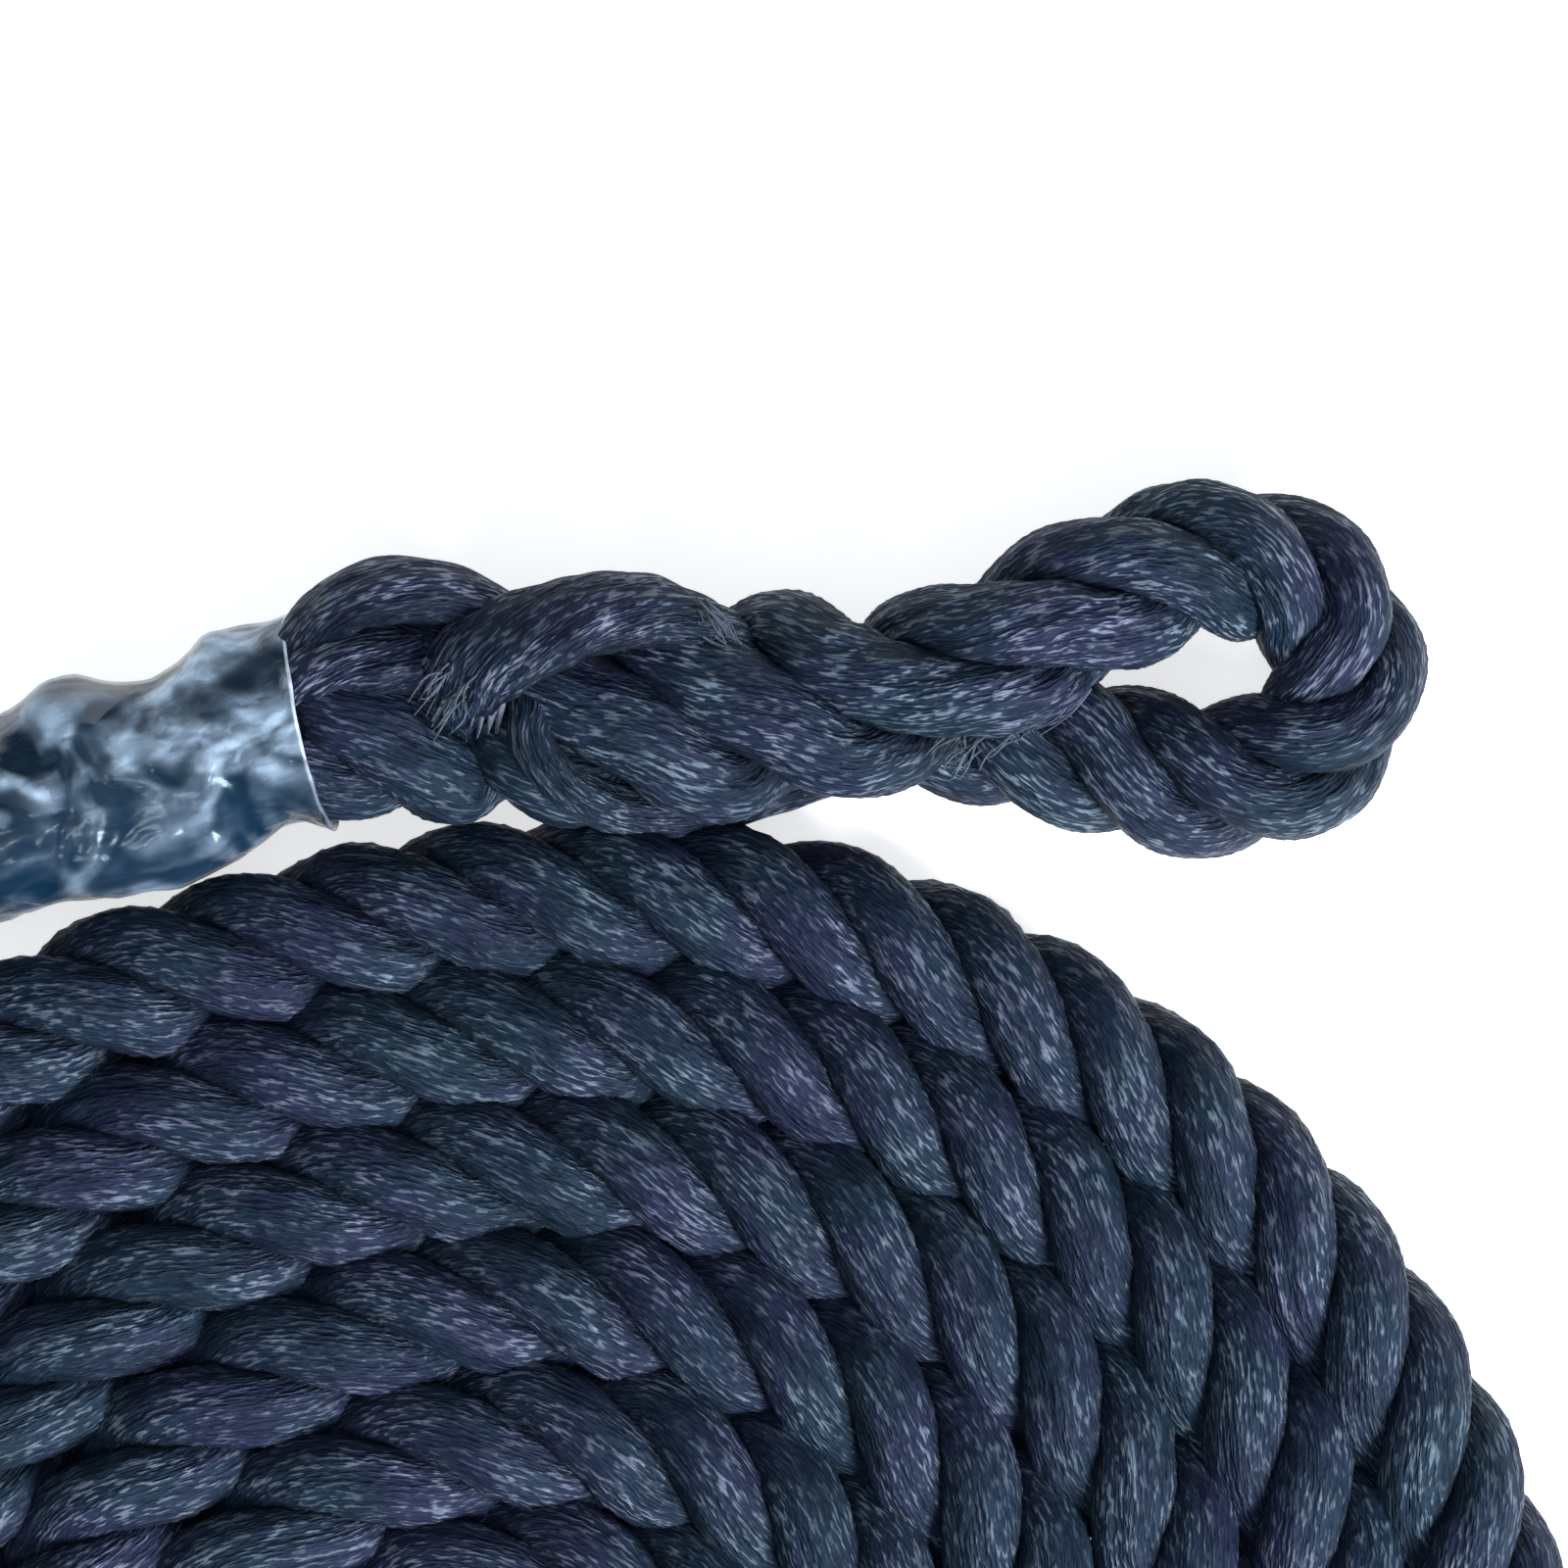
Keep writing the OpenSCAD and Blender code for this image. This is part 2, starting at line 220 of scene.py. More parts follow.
@dataclass
class Route:
    """The middle line of the whole rope, with how its strands stand round it."""

    fine_step: float = 0.00052
    coil_step: float = 0.00132
    # How far into the sleeve the fine step goes on
    fine_past: float = 0.01
    rows_a_turn: int = 24
    # The bitter end: its length and rows, how far along it they are, as a share, and how
    # far they bend in and rise, in millimetres, each from its first row to its last
    end_length: float = 0.026
    end_rows: int = 5
    end_share: tuple[float, float] = (0.2, 1.0)
    end_bend: tuple[float, float] = (0.1, 0.7)
    end_rise: tuple[float, float] = (0.2, 0.6)
    middle: np.ndarray = field(init=False)
    rows: np.ndarray = field(init=False)
    distance: np.ndarray = field(init=False)
    eye_length: float = field(init=False)

    def __post_init__(self) -> None:
        """Works out the line from the listed points and the spiral."""
        step_x = PITCH / 4
        middle_y = (COIL_LOW[1] + COIL_HIGH[1] + PITCH / 2) / 2
        upper_r = COIL_HIGH[1] - middle_y
        self.middle = np.array([COIL_HIGH[0] - upper_r - step_x, middle_y])
        first = np.array(EYE_ROUTE) * ([MM] * 5 + [1.0] * 3)
        rows = np.concatenate([first, self.sleeve_rows(), self.outer_rows(upper_r, step_x),
                               self.spiral_rows(upper_r, step_x)])
        along = travelled(rows)
        self.eye_length = along[len(first) - 1]
        change = self.eye_length + self.fine_past
        fine = np.arange(0.0, change, self.fine_step)
        coarse = np.linspace(change, along[-1],
                             int((along[-1] - self.eye_length) / self.coil_step))
        self.rows = smooth_line(rows, np.concatenate([fine, coarse[1:]]))
        self.distance = travelled(self.rows)

    def sleeve_rows(self) -> np.ndarray:
        """Rows of the route inside the clear sleeve."""
        a = math.radians(SLEEVE_HEADING)
        return np.array([
            [(SLEEVE_MOUTH[0] + d * math.cos(a)) * MM, (SLEEVE_MOUTH[1] + d * math.sin(a)) * MM,
             (SLEEVE_Z - SLEEVE_FALL * d) * MM, wide * MM, high * MM, count, level, fat]
            for d, wide, high, count, level, fat in SLEEVE_ROUTE])

    def outer_rows(self, upper_r: float, step_x: float) -> np.ndarray:
        """Rows of the route from the sleeve to the coil's outer end."""
        rows = []
        for i, (degrees, gap) in enumerate(OUTER_ROUTE):
            r = upper_r + ROPE_R + gap * MM
            a = math.radians(degrees)
            count = OUTER_COUNT + (CROSSINGS[0][1] - OUTER_COUNT) * i / len(OUTER_ROUTE)
            rows.append([self.middle[0] + step_x + r * math.cos(a),
                         self.middle[1] + r * math.sin(a), ROPE_R, BEND_WIDE, BEND_HIGH, count,
                         0.0, 1.0])
        return np.array(rows)

    def spiral_rows(self, upper_r: float, step_x: float) -> np.ndarray:
        """Rows of the flat spiral and of the bitter end that carries it on."""
        start_r = upper_r - ROPE_R + PITCH - step_x
        n, end = self.rows_a_turn, self.end_rows
        angle = np.radians(180 + 360 / n * np.arange(TURNS * n + 1))
        inner_r = start_r - PITCH * TURNS
        last = angle[-1] + self.end_length / inner_r * np.linspace(*self.end_share, end)
        angle = np.concatenate([angle, last])
        turns = (angle - math.pi) / TURN
        radius = start_r - PITCH * turns
        radius[-end:] -= np.linspace(*self.end_bend, end) * MM
        away = (np.degrees(angle) - DENT_AT + 180) % 360 - 180
        radius -= DENT_DEPTH * MM * np.exp(-(away / DENT_WIDTH) ** 2) \
            * np.maximum(0.0, 1 - DENT_FADE * np.floor(turns))
        place = self.middle + radius[:, None] * np.stack([np.cos(angle), np.sin(angle)], 1)
        count = np.interp(travelled(np.pad(place, ((0, 0), (0, 1)))), *zip(*CROSSINGS))
        z = np.full(len(angle), ROPE_R)
        z[-end:] += np.linspace(*self.end_rise, end) * MM
        same = np.ones(len(angle))
        return np.column_stack([place, z, NEST_WIDE * same, NEST_HIGH * same, count,
                                0.0 * same, NEST_FAT * same])

    @property
    def line(self) -> np.ndarray:
        """The points of the middle line."""
        return self.rows[:, :3]

    def axes(self) -> tuple[np.ndarray, np.ndarray, np.ndarray]:
        """The heading, left and upward directions at every point."""
        ahead = unit(np.gradient(self.line, self.distance, axis=0))
        left = unit(np.cross(UP, ahead))
        return ahead, left, np.cross(ahead, left)

    def strand(self, k: int) -> tuple[np.ndarray, np.ndarray]:
        """The middle line of one laid strand.

        Args:
            k: Which of the strands, from 0.

        Returns:
            Its points, and the outward direction at each.
        """
        _, left, up = self.axes()
        turn = np.radians(FIRST_STRAND + 360 / STRANDS * (self.rows[:, COUNT] + k))
        turn = turn + self.rows[:, LEVEL] * np.sin(2 * turn)
        out = (self.rows[:, WIDE] * np.cos(turn))[:, None] * left \
            + (self.rows[:, HIGH] * np.sin(turn))[:, None] * up
        return self.line + out, unit(out)


@dataclass
class Tube:
    """A strand, thread or sleeve: a sheet of quads rolled round a line.

    Its UV map holds the distance along it in metres and the share of a turn round it.
    """

    points: np.ndarray
    outward: np.ndarray
    half_side: np.ndarray
    half_out: np.ndarray
    sides: int = 36
    ends: Ends = Ends.FILLED
    fibre_turn: float = 148.0
    yarns: int = 9
    yarn_depth: float = 0.02
    lump: float = 0.02
    # How many uneven swells it has, and how fast each winds along it, in radians a metre
    swells: int = 7
    swell_winds: tuple[float, float] = (250, 1100)
    seed: int = 1

    def relief(self, along: np.ndarray, angle: np.ndarray) -> np.ndarray:
        """How the radius swells and dips, as a share, over the surface."""
        random = np.random.default_rng(self.seed)
        fibre = angle + self.fibre_turn * along
        swell = 1 + self.yarn_depth * np.cos(self.yarns * fibre)
        for _ in range(self.swells):
            waves, turns = random.integers(1, 5), random.uniform(*self.swell_winds)
            phase, share = random.uniform(0, TURN), random.uniform(0.4, 1.0)
            swell += self.lump * share / 2 * np.sin(waves * fibre + turns * along + phase)
        return swell

    def place(self, row: np.ndarray, angle: np.ndarray) -> np.ndarray:
        """Where the surface is at a row of the line and an angle from outward."""
        distance = travelled(self.points)
        ahead = unit(np.gradient(self.points, distance, axis=0))
        out = unit(self.outward - (self.outward * ahead).sum(1, keepdims=True) * ahead)
        side = np.cross(ahead, out)
        swell = self.relief(distance[row], angle)
        spot = self.points[row] \
            + (swell * self.half_out[row] * np.cos(angle))[:, None] * out[row] \
            + (swell * self.half_side[row] * np.sin(angle))[:, None] * side[row]
        spot[:, 2] = np.maximum(spot[:, 2], 0.0)
        return spot

    def rolled(self) -> bmesh.types.BMesh:
        """The tube as a new bmesh, with its seam welded."""
        rows, sides = len(self.points) - 1, self.sides
        sheet = bmesh.new()
        sheet.loops.layers.uv.new("UVMap")
        bmesh.ops.create_grid(sheet, x_segments=sides, y_segments=rows, size=1.0)
        mesh = bpy.data.meshes.new("rolled")
        sheet.to_mesh(mesh)
        sheet.free()
        flat = np.empty(len(mesh.vertices) * 3, np.float32)
        mesh.vertices.foreach_get("co", flat)
        column = np.rint((flat[0::3] + 1) / 2 * sides).astype(int)
        row = np.rint((flat[1::3] + 1) / 2 * rows).astype(int)
        spots = self.place(row, (column % sides) * TURN / sides)
        mesh.vertices.foreach_set("co", spots.astype(np.float32).ravel())
        corner = np.empty(len(mesh.loops), np.int32)
        mesh.loops.foreach_get("vertex_index", corner)
        chart = np.stack([travelled(self.points)[row[corner]], column[corner] / sides], 1)
        mesh.uv_layers["UVMap"].data.foreach_set("uv", chart.astype(np.float32).ravel())
        tube = bmesh.new()
        tube.from_mesh(mesh)
        bpy.data.meshes.remove(mesh)
        bmesh.ops.remove_doubles(tube, verts=tube.verts, dist=1e-7)
        if self.ends is Ends.FILLED:
            rims = [edge for edge in tube.edges if edge.is_boundary]
            bmesh.ops.holes_fill(tube, edges=rims, sides=0)
        bmesh.ops.recalc_face_normals(tube, faces=tube.faces)
        return tube


def piece_from(name: str, parts: Iterable[bmesh.types.BMesh], material: bpy.types.Material) -> bpy.types.Object:
    """Joins bmeshes into one piece that rides on the line's body.

    Args:
        name: The piece's name.
        parts: The bmeshes, which are freed.
        material: Its finish.

    Returns:
        The new object, at the origin.
    """
    whole = bmesh.new()
    whole.loops.layers.uv.new("UVMap")
    for part in parts:
        step = bpy.data.meshes.new("step")
        part.to_mesh(step)
        part.free()
        whole.from_mesh(step)
        bpy.data.meshes.remove(step)
    mesh = bpy.data.meshes.new(name)
    whole.to_mesh(mesh)
    whole.free()
    mesh.polygons.foreach_set("use_smooth", [True] * len(mesh.polygons))
    mesh.materials.append(material)
    piece = bpy.data.objects.new(name, mesh)
    bpy.context.scene.collection.objects.link(piece)
    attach(piece, BODY)
    return piece


class Value:
    """A number in a material, so that shader maths reads as Python."""

    def __init__(self, nodes: "Nodes", socket: bpy.types.NodeSocket) -> None:
        """Keeps the socket that gives the number."""
        self.nodes, self.socket = nodes, socket

    def _math(self, operation: str, a: "Value | float", b: "Value | float") -> "Value":
        """A Math node on two numbers."""
        return Value(self.nodes, self.nodes.add("ShaderNodeMath", {"operation": operation},
                                                {0: a, 1: b}).outputs[0])

    def __add__(self, other: "Value | float") -> "Value":
        """self + other."""
        return self._math("ADD", self, other)

    __radd__ = __add__

    def __mul__(self, other: "Value | float") -> "Value":
        """self * other."""
        return self._math("MULTIPLY", self, other)

    def __rsub__(self, other: "Value | float") -> "Value":
        """other - self."""
        return self._math("SUBTRACT", other, self)

    def cos(self) -> "Value":
        """The cosine, of radians."""
        return self._math("COSINE", self, 0.0)

    def sin(self) -> "Value":
        """The sine, of radians."""
        return self._math("SINE", self, 0.0)

    def rise(self, low: float, high: float) -> "Value":
        """0 below low and 1 above high, with a smooth rise between."""
        node = self.nodes.add("ShaderNodeMapRange", {"interpolation_type": "SMOOTHSTEP"},
                              {"Value": self, "From Min": low, "From Max": high})
        return Value(self.nodes, node.outputs[0])


class Nodes:
    """The node tree of one material."""

    def __init__(self, name: str) -> None:
        """Starts an empty material with its output and Principled shader."""
        self.material = bpy.data.materials.new(name)
        self.material.use_nodes = True
        self.tree = self.material.node_tree
        self.tree.nodes.clear()
        self.output = self.add("ShaderNodeOutputMaterial", {}, {})
        self.shader = self.add("ShaderNodeBsdfPrincipled", {}, {})
        self.tree.links.new(self.shader.outputs[0], self.output.inputs["Surface"])

    def add(self, kind: str, settings: dict, inputs: dict) -> bpy.types.Node:
        """Adds any node.

        Args:
            kind: The node's type.
            settings: Its own settings, which are set first.
            inputs: The value of each socket, or what links to it.

        Returns:
            The node.
        """
        node = self.tree.nodes.new(kind)
        for key, value in settings.items():
            setattr(node, key, value)
        for key, value in inputs.items():
            source = value.socket if isinstance(value, Value) else value
            if isinstance(source, bpy.types.NodeSocket):
                self.tree.links.new(source, node.inputs[key])
            else:
                node.inputs[key].default_value = source
        return node

    def set(self, **inputs: object) -> None:
        """Sets or links the Principled shader's sockets, with _ for a space."""
        for key, value in inputs.items():
            socket = self.shader.inputs[key.replace("_", " ")]
            source = value.socket if isinstance(value, Value) else value
            if isinstance(source, bpy.types.NodeSocket):
                self.tree.links.new(source, socket)
            else:
                socket.default_value = source

    def uv(self) -> tuple[Value, Value]:
        """The distance along a strand, and the share of a turn round it."""
        chart = self.add("ShaderNodeUVMap", {"uv_map": "UVMap"}, {})
        parts = self.add("ShaderNodeSeparateXYZ", {}, {0: chart.outputs[0]})
        return Value(self, parts.outputs[0]), Value(self, parts.outputs[1])

    def vector(self, x: Value | float, y: Value | float, z: Value | float) -> bpy.types.NodeSocket:
        """A vector from three numbers."""
        return self.add("ShaderNodeCombineXYZ", {}, {0: x, 1: y, 2: z}).outputs[0]

    def place(self) -> bpy.types.NodeSocket:
        """The point on the object, in metres."""
        return self.add("ShaderNodeTexCoord", {}, {}).outputs["Object"]

    def noise(self, vector: bpy.types.NodeSocket, scale: float, detail: float = 2.0,
              roughness: float = 0.5, distortion: float = 0.0) -> Value:
        """Noise from 0 to 1 at a place."""
        node = self.add("ShaderNodeTexNoise", {"noise_dimensions": "3D"}, {
            "Vector": vector, "Scale": scale, "Detail": detail, "Roughness": roughness,
            "Distortion": distortion})
        return Value(self, node.outputs[0])

    def mix(self, share: Value, a: object, b: object) -> bpy.types.NodeSocket:
        """A colour between two colours."""
        return self.add("ShaderNodeMix", {"data_type": "RGBA", "clamp_factor": True},
                        {0: share, 6: a, 7: b}).outputs[2]

    def bump(self, height: Value, distance: float) -> bpy.types.NodeSocket:
        """A normal from a height, where 1 is distance metres."""
        return self.add("ShaderNodeBump", {}, {"Strength": 1.0, "Distance": distance,
                                               "Height": height}).outputs[0]


def rgb(r: float, g: float, b: float) -> tuple[float, float, float, float]:
    """A colour with full alpha."""
    return (r, g, b, 1.0)


@dataclass(frozen=True)
class FibreFinish:
    """Silky navy-black fibres that run along a strand, with painted highlights on short glinting dashes and
    painted shade on the inner side and between the threads.
    """

    name: str
    # How far the fibres turn round the strand, in radians for each metre
    fibre_turn: float = 148.0
    # The strand's radius, and how many yarns show round it
    radius: float = 0.0036
    yarns: float = 9.0
    # The distance along the rope up to which the painted glints are at full strength
    bright_until: float = EVERYWHERE
    # How dark the painted shade is on the side that faces the rope's middle
    shade: float = 0.9
    # How many more of the fibres get a painted glint than usual, and how much brighter the painted highlight
    # colour is
    extra_painted_glints: float = 0.0
    painted_highlight_gain: float = 1.0
    # How strong the painted glints stay further along, and over what distance that changes
    painted_glints_further_on: float = 0.72
    fade: float = 0.03

    def painted_highlight_colour(self, r: float, g: float, b: float) -> tuple[float, float, float, float]:
        """The painted highlight colour of a glinting fibre."""
        return rgb(r * self.painted_highlight_gain, g * self.painted_highlight_gain, b * self.painted_highlight_gain)

    def make(self) -> bpy.types.Material:
        """Builds the material."""
        n = Nodes(self.name)
        along, share = n.uv()
        turn = share * TURN + along * self.fibre_turn
        x, y = turn.cos() * self.radius, turn.sin() * self.radius
        dash = n.noise(n.vector(x, y, along * 0.22), 2900.0, 1.5, 0.55)
        thread = n.noise(n.vector(x, y, along * 0.1), 4400.0, 1.0)
        patch = n.noise(n.vector(x, y, along * 0.5), 300.0, 2.0)
        tint = n.noise(n.place(), 42.0, 1.0)
        warm = n.noise(n.place(), 75.0, 1.0)
        yarn = (turn * self.yarns).cos() * 0.5 + 0.5
        # The glinting dashes: smoother, and given a painted highlight colour
        glint = dash.rise(0.51 - self.extra_painted_glints, 0.65 - self.extra_painted_glints)
        # Painted shade on the side of the strand that faces the rope's middle
        painted_inner_shade = 1.0 - (share * TURN).cos().rise(-0.35, 0.75)
        # The dark where the thread noise is low, which is also where the bump is low: the fibres' own dark tone
        # with painted shade in those valleys; the patch noise adds random tone
        deep = n.mix(tint.rise(0.4, 0.6), rgb(0.0004, 0.0040, 0.011), rgb(0.0015, 0.0026, 0.015))
        body = n.mix(warm.rise(0.42, 0.62), rgb(0.0065, 0.0180, 0.035), rgb(0.0115, 0.0155, 0.043))
        # Painted highlight colours for the glinting fibres
        shine = n.mix(tint.rise(0.38, 0.62), self.painted_highlight_colour(0.118, 0.166, 0.208),
                      self.painted_highlight_colour(0.148, 0.164, 0.240))
        ground = n.mix(thread.rise(0.35, 0.65) * 0.6 + patch.rise(0.3, 0.6) * 0.4, deep, body)
        # Further along the rope the painted highlights are weaker
        near = 1.0 - along.rise(self.bright_until - self.fade, self.bright_until) * (1 - self.painted_glints_further_on)
        # Painted highlight: the pale colour laid over the ground on the glinting dashes
        lit = n.mix(glint * patch.rise(0.3, 0.68) * near, ground, shine)
        # The base colour: painted highlights on the dashes, then painted shade over the inner side
        n.set(Base_Color=n.mix(painted_inner_shade * self.shade, lit, rgb(0.0003, 0.0022, 0.008)),
              Roughness=0.7 - glint * 0.3,
              Normal=n.bump(dash * 1.0 + thread * 0.35 + yarn * 0.35, 0.0006),
              Specular_IOR_Level=0.24, Specular_Tint=rgb(0.64, 0.82, 1.0))
        return n.material


@dataclass(frozen=True)
class FilmFinish:
    """Clear shrink film: glossy, wrinkled and milky in patches, with a pale cut edge; the milky patches and the
    edge also carry painted highlights, stronger towards +Y.
    """

    name: str
    # How much less clear the milky patches are, which also carry painted highlights, and how far in the cut
    # edge shows
    haze_and_highlight: float = 0.42
    rim: float = 0.00035

    def make(self) -> bpy.types.Material:
        """Builds the material."""
        n = Nodes(self.name)
        along, share = n.uv()
        here = n.place()
        turn = share * TURN
        drawn = n.vector(turn.cos() * 0.01, turn.sin() * 0.01, along * 0.6)
        cloud = n.noise(here, 120.0, 1.5, 0.5, 0.9)
        wrinkle = n.noise(drawn, 300.0, 1.5, 0.5, 0.5)
        streak = n.noise(drawn, 760.0, 2.0, 0.55, 0.4)
        # The film's side towards +Y, where the milk with its painted highlights and the pale edge are stronger
        # and the clear film is more see-through
        upper = turn.sin().rise(-0.75, 0.45)
        # Milk: partly the film's own haze and partly painted highlight standing in for reflections of the
        # lights on the wrinkles
        milk_and_highlight = cloud.rise(0.42, 0.64) * (0.3 + wrinkle.rise(0.38, 0.58) * 0.45
                                         + streak.rise(0.4, 0.62) * 0.25) * (upper * 0.7 + 0.3)
        # The pale cut edge: partly the edge's own colour and partly painted highlight, brighter towards +Y
        edge = (1.0 - along.rise(self.rim * 0.6, self.rim)) * (0.15 + upper * 0.6)
        # Base colour: the dark clear film, the pale milk with its painted highlights, then the pale edge
        film = n.mix(milk_and_highlight, rgb(0.004, 0.022, 0.050), rgb(0.46, 0.62, 0.80))
        n.set(Base_Color=n.mix(edge, film, rgb(0.70, 0.80, 0.92)),
              Roughness=0.2 + milk_and_highlight * 0.15,
              Alpha=0.66 - upper * 0.2 + milk_and_highlight * self.haze_and_highlight + edge * 0.4,
              Normal=n.bump(cloud * 1.0 + wrinkle * 0.3, 0.0022),
              Specular_IOR_Level=0.4, Specular_Tint=rgb(0.7, 0.88, 1.0),
              Coat_Weight=0.16, Coat_Roughness=0.2)
        return n.material


@dataclass(frozen=True)
class MeltedFinish:
    """Nylon that was melted and set: dark, uneven and glossy."""

    name: str

    def make(self) -> bpy.types.Material:
        """Builds the material."""
        n = Nodes(self.name)
        here = n.place()
        lump = n.noise(here, 500.0, 3.0)
        speck = n.noise(here, 1900.0, 2.0)
        n.set(Base_Color=n.mix(lump.rise(0.35, 0.65), rgb(0.005, 0.006, 0.010),
                               rgb(0.028, 0.030, 0.040)),
              Roughness=0.22 + speck * 0.35,
              Normal=n.bump(lump * 0.8 + speck * 0.15, 0.0006))
        return n.material


@dataclass(frozen=True)
class FloorFinish:
    """Plain pale studio floor."""

    name: str = "pale_floor"

    def make(self) -> bpy.types.Material:
        """Builds the material."""
        n = Nodes(self.name)
        grain = n.noise(n.place(), 90.0, 3.0)
        n.set(Base_Color=n.mix(grain, rgb(0.90, 0.90, 0.90), rgb(0.93, 0.93, 0.93)),
              Roughness=0.9, Specular_IOR_Level=0.1, Emission_Color=rgb(1.0, 1.0, 1.0),
              Emission_Strength=0.68)
        return n.material


@dataclass
class LaidRope:
    """The rope itself: three strands laid together over its whole length."""

    route: Route
    strand_half: float = 0.00396
    sides: int = 36
    first_seed: int = 11

    def build(self, finish: FibreFinish) -> list[bpy.types.Object]:
        """Makes the three strands, which share one finish."""
        material = finish.make()
        made = []
        for k in range(STRANDS):
            points, outward = self.route.strand(k)
            fat = self.route.rows[:, FAT]
            tube = Tube(points, outward, self.strand_half * fat, self.strand_half * (fat + 1) / 2,
                        self.sides, fibre_turn=finish.fibre_turn, yarn_depth=0.028, lump=0.032,
                        seed=self.first_seed + k)
            made.append(piece_from(f"rope_strand_{k + 1}", [tube.rolled()], material))
        return made


@dataclass
class Splice:
    """The three strand ends, tucked back through the standing part."""

    route: Route
    sides: int = 40
    step: float = 0.0004
    first_seed: int = 31
    # The splice's middle line, which the strands face away from
    axis_y: float = 0.1075
    axis_z: float = 0.0115
    # Rings of the laid strand that a tucked strand carries on from, and its half sizes there
    lead_rings: tuple[int, int] = (16, 9)
    lead_half: tuple[float, float] = (0.0036, 0.0035)

    def build(self, finish: FibreFinish) -> list[bpy.types.Object]:
        """Makes the three tucked strands."""
        material = finish.make()
        made = []
        for k, (rows, (yarn_depth, yarns)) in enumerate(zip(TUCKS, TUCK_YARNS)):
            start, _ = self.route.strand(k)
            lead = [[*start[i], *self.lead_half] for i in self.lead_rings]
            chosen = np.concatenate([lead, np.array(rows) * MM])
            line = smooth_line(chosen, step=self.step)
            points = line[:, :3]
            outward = points - np.stack([points[:, 0], np.full(len(points), self.axis_y),
                                         np.full(len(points), self.axis_z)], 1)
            tube = Tube(points, unit(outward), line[:, 3], line[:, 4], self.sides,
                        fibre_turn=finish.fibre_turn, yarns=yarns, yarn_depth=yarn_depth,
                        lump=0.04, seed=self.first_seed + k)
            piece = piece_from(f"tucked_strand_{k + 1}_laid", [tube.rolled()], material)
            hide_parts(f"tucked_strand_{k + 1}")
            made.append(piece)
        return made


@dataclass
class ShrinkSleeve(Tube):
    """A clear shrink sleeve that has drawn down over the rope inside it."""

    wall: float = 0.00035
    # Three slow ridges in the film: how high they are, and where the first is, in radians
    ridge: float = 0.04
    ridge_at: float = 0.8
    # Creases: their height, how many go round, and how fast they wind along the film
    creases: Sequence[tuple[float, int, float]] = ((0.014, 7, 700.0), (0.009, 12, -1300.0))
    # The rolled lip at each end
    lip: float = 0.03
    lip_length: float = 0.0009
    lumps: Sequence[tuple[float, float, float, float, float]] = ()

    @classmethod
    def over(cls, line: np.ndarray, radius: float, lumps: Sequence[tuple] = ()) -> "ShrinkSleeve":
        """A sleeve of a radius over a stretch of the rope's line."""
        size = np.full(len(line), radius)
        return cls(line, np.tile(UP, (len(line), 1)), size, size, sides=128, ends=Ends.OPEN,
                   lumps=lumps)

    def relief(self, along: np.ndarray, angle: np.ndarray) -> np.ndarray:
        """How the film stands out at its ridges, creases, lumps and lips, as a share."""
        swell = 1 + self.ridge * np.cos(STRANDS * angle - along * TURN / LAY + self.ridge_at)
        for height, waves, wind in self.creases:
            swell += height * np.sin(waves * angle + wind * along)
        for far, degrees, height, length, width in self.lumps:
            turn = (angle - math.radians(degrees) + math.pi) % TURN - math.pi
            swell += height * np.exp(-((along / MM - far) / length) ** 2
                                     - (turn / math.radians(width)) ** 2)
        rim = np.minimum(along, along.max() - along) / self.lip_length
        return swell + self.lip * np.exp(-rim ** 2)

    def build(self, name: str, finish: FilmFinish, node: str) -> bpy.types.Object:
        """Makes the sleeve and gives its film a wall.

        Args:
            name: The piece's name.
            finish: Its film.
            node: The CAD node that it stands for.

        Returns:
            The piece.
        """
        film = self.rolled()
        bmesh.ops.solidify(film, geom=film.faces, thickness=self.wall)
        piece = piece_from(name, [film], finish.make())
        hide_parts(node)
        return piece


@dataclass
class SealedTip:
    """The melted cap on the bitter end."""

    route: Route
    radius: float = 0.0074
    depth: float = 0.0024
    # Its uneven swells: how many, how quickly they change, and how high across and along
    waves: int = 6
    wave_rate: float = 5.0
    lump_across: float = 0.012
    lump_along: float = 0.05
    seed: int = 5

    def build(self, finish: MeltedFinish) -> bpy.types.Object:
        """Makes the cap from a dome, uneven as it set."""
        cap = bmesh.new()
        bmesh.ops.create_uvsphere(cap, u_segments=64, v_segments=32, radius=1.0)
        ahead, left, up = (axis[-1] for axis in self.route.axes())
        random = np.random.default_rng(self.seed)
        waves = random.uniform(-1, 1, (self.waves, 3)) * self.wave_rate
        for vert in cap.verts:
            lump = sum(math.sin(float(wave @ np.array(vert.co)) + i) for i, wave in enumerate(waves))
            reach = self.radius * (1 + self.lump_across * lump)
            deep = self.depth * (1.0 if vert.co.z > 0 else 0.5) * (1 + self.lump_along * lump)
            place = self.route.line[-1] + reach * (vert.co.x * left + vert.co.y * up) \
                + deep * vert.co.z * ahead
            vert.co = Vector(place)
        bmesh.ops.recalc_face_normals(cap, faces=cap.faces)
        piece = piece_from("melted_tip", [cap], finish.make())
        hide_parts("sealed_tip")
        return piece


